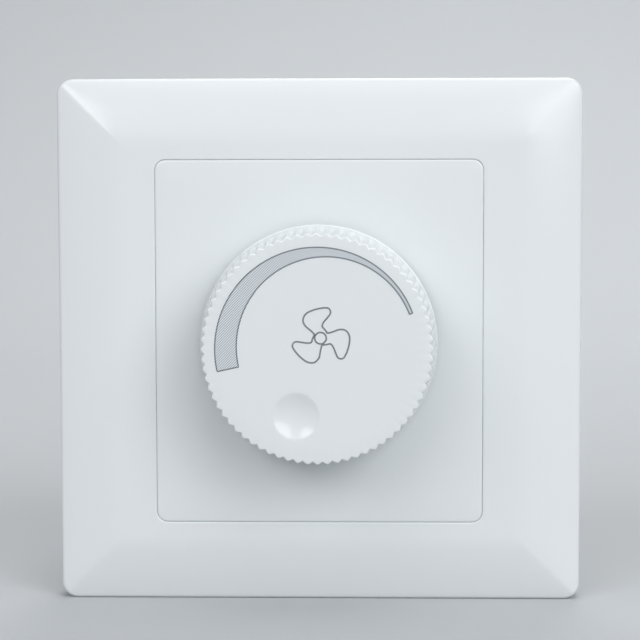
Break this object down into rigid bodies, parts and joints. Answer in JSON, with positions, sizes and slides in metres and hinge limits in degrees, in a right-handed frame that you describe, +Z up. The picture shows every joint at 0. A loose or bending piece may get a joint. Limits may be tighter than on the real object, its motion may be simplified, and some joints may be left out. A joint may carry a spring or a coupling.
{
  "type": "fan speed control switch",
  "caption": "Flush square wall plate with mitred sloping sides, a centre panel and a fluted rotary knob that sets fan speed; regulator circuit in a vented rear housing.",
  "frame": {"origin": "middle of the two wall screw slots, in the wall plane, on the knob's axis", "axes": "+Z up, +X to the user's right, -Y out of the wall towards the user"},
  "size_m": [0.086, 0.0482, 0.086],
  "materials": {
    "white_abs": "smooth semi-gloss moulded",
    "bracket_plastic": "moulded",
    "housing_plastic": "fine moulded grain",
    "spring_steel": "bright",
    "shaft_aluminium": "turned",
    "plated_zinc": "bright plated",
    "phenolic_paper": "pressed laminate",
    "rotor_nylon": "moulded",
    "contact_brass": "stamped",
    "tinned_pins": "tinned",
    "black_phenolic": "moulded",
    "plated_screws": "zinc plated",
    "aluminium_sheet": "rolled",
    "capacitor_case": "moulded",
    "dipped_film": "dipped",
    "ferrite": "pressed",
    "enamelled_copper": "enamelled",
    "resistor_lacquer": "lacquered",
    "diac_glass": "glassy",
    "terminal_nylon": "moulded"
  },
  "bodies": {
    "base": {"cover_frame": "white_abs", "centre_panel": "white_abs", "mounting_bracket": "bracket_plastic", "rear_housing": "housing_plastic", "pot_bushing": "plated_zinc", "pot_washer": "plated_zinc", "pot_nut": "plated_zinc", "pot_case": "plated_zinc", "pot_wafer": "phenolic_paper", "circuit_board": "phenolic_paper", "terminal_clamps": "contact_brass", "pot_terminals": "tinned_pins", "switch_terminals": "tinned_pins", "triac_leads": "tinned_pins", "triac_tab": "tinned_pins", "switch_case": "black_phenolic", "triac_body": "black_phenolic", "housing_screws": "plated_screws", "board_screws": "plated_screws", "triac_screw": "plated_screws", "triac_nut": "plated_screws", "terminal_screws": "plated_screws", "heat_sink": "aluminium_sheet", "film_capacitor": "capacitor_case", "timing_capacitor": "dipped_film", "choke_core": "ferrite", "choke_winding": "enamelled_copper", "resistors": "resistor_lacquer", "diac": "diac_glass", "terminal_block": "terminal_nylon"},
    "knob": {"knob": "white_abs", "knob_clip": "spring_steel", "pot_shaft": "shaft_aluminium", "pot_rotor": "rotor_nylon", "pot_wiper": "contact_brass"}
  },
  "joints": [
    {"name": "knob_turn", "type": "hinge", "parent": "base", "child": "knob", "pos_m": [0, -0.0152, 0], "axis": [0, 1, 0], "range_deg": [0, 300]}
  ]
}
